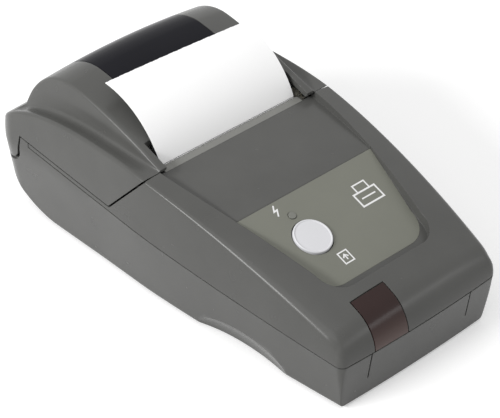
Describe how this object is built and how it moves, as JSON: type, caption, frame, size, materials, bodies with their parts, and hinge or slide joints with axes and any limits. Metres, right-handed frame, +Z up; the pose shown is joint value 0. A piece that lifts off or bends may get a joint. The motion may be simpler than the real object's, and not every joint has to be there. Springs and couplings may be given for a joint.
{
  "type": "portable receipt printer",
  "caption": "Small battery-powered thermal printer with a wedge-shaped case, a rear-hinged paper cover with a smoked window, a tear edge, a paper roll and a feed button.",
  "frame": {"origin": "under the middle of the case, on the surface it stands on", "axes": "+X to the right seen from the front, +Y from the front nose to the cover hinge at the rear, +Z up"},
  "size_m": [0.082, 0.1586, 0.0639],
  "materials": {
    "case_shell": "fine matt grain",
    "label": "satin film",
    "tear_strip": "satin",
    "dark_window": "polished, dark red",
    "smoked_window": "polished, smoked",
    "paper": "plain thermal paper",
    "card": "wound card",
    "board": "lacquered circuit board",
    "black_plastic": "moulded",
    "light_plastic": "moulded",
    "light_guide": "frosted",
    "sheet_steel": "pressed",
    "heat_sink": "extruded",
    "ceramic": "glazed",
    "flex_film": "amber film",
    "motor_can": "drawn",
    "steel": "turned",
    "rubber": "ground",
    "foot_rubber": "moulded",
    "brass": "turned",
    "button": "satin",
    "cell_sleeve": "printed sleeve"
  },
  "bodies": {
    "case": {"base_case": "case_shell", "top_case": "case_shell", "label_overlay": "label", "tear_bar": "tear_strip", "link_window": "dark_window", "roll_tray": "case_shell", "paper_web": "paper", "main_board": "board", "main_chip": "black_plastic", "driver_chip": "black_plastic", "board_capacitor": "black_plastic", "flex_connector": "light_plastic", "link_transceiver": "black_plastic", "key_board": "board", "key_switch": "black_plastic", "indicator_light": "light_guide", "mechanism_frame": "sheet_steel", "head_plate": "heat_sink", "print_head": "ceramic", "head_spring": "sheet_steel", "head_flex": "flex_film", "feed_motor": "motor_can", "gear_axle": "steel", "data_socket": "black_plastic", "power_socket": "black_plastic", "socket_board": "board", "battery_contact_front": "sheet_steel", "battery_contact_rear": "sheet_steel", "battery_cell_1": "cell_sleeve", "battery_cell_2": "cell_sleeve", "battery_cell_3": "cell_sleeve", "battery_cell_4": "cell_sleeve", "case_screw_1": "steel", "case_screw_2": "steel", "case_screw_3": "steel", "case_screw_4": "steel", "foot_1": "foot_rubber", "foot_2": "foot_rubber", "foot_3": "foot_rubber", "foot_4": "foot_rubber", "hinge_pin_left": "steel", "hinge_pin_right": "steel"},
    "cover": {"paper_cover": "case_shell", "cover_window": "smoked_window", "paper_tail": "paper", "platen_bush_left": "brass", "platen_bush_right": "brass"},
    "platen": {"platen_shaft": "steel", "platen_roller": "rubber", "platen_gear": "light_plastic"},
    "idler": {"reduction_gear": "light_plastic"},
    "pinion": {"motor_pinion": "brass"},
    "roll": {"paper_roll": "paper", "roll_core": "card"},
    "button": {"feed_button": "button"},
    "door": {"battery_door": "case_shell"}
  },
  "joints": [
    {"name": "cover_hinge", "type": "hinge", "parent": "case", "child": "cover", "pos_m": [0, 0.073, 0.028], "axis": [-1, 0, 0], "range_deg": [0, 80]},
    {"name": "platen_spin", "type": "hinge", "parent": "cover", "child": "platen", "pos_m": [0, 0.01265, 0.039], "axis": [1, 0, 0], "continuous": true},
    {"name": "idler_spin", "type": "hinge", "parent": "case", "child": "idler", "pos_m": [0, 0.01127, 0.03142], "axis": [1, 0, 0], "continuous": true},
    {"name": "pinion_spin", "type": "hinge", "parent": "case", "child": "pinion", "pos_m": [0, 0.00588, 0.02428], "axis": [1, 0, 0], "continuous": true},
    {"name": "roll_spin", "type": "hinge", "parent": "case", "child": "roll", "pos_m": [0, 0.041, 0.033], "axis": [1, 0, 0], "continuous": true},
    {"name": "button_press", "type": "slide", "parent": "case", "child": "button", "axis": [0, 0.342, -0.9397], "range_m": [0, 0.0005], "stiffness_N_per_m": 2000},
    {"name": "battery_door_hinge", "type": "hinge", "parent": "case", "child": "door", "pos_m": [0, -0.0136, 0.0023], "axis": [1, 0, 0], "range_deg": [0, 75]}
  ],
  "couplings": [
    {"joint": "idler_spin", "follows": "platen_spin", "ratio": -2},
    {"joint": "pinion_spin", "follows": "platen_spin", "ratio": 5.7778}
  ]
}
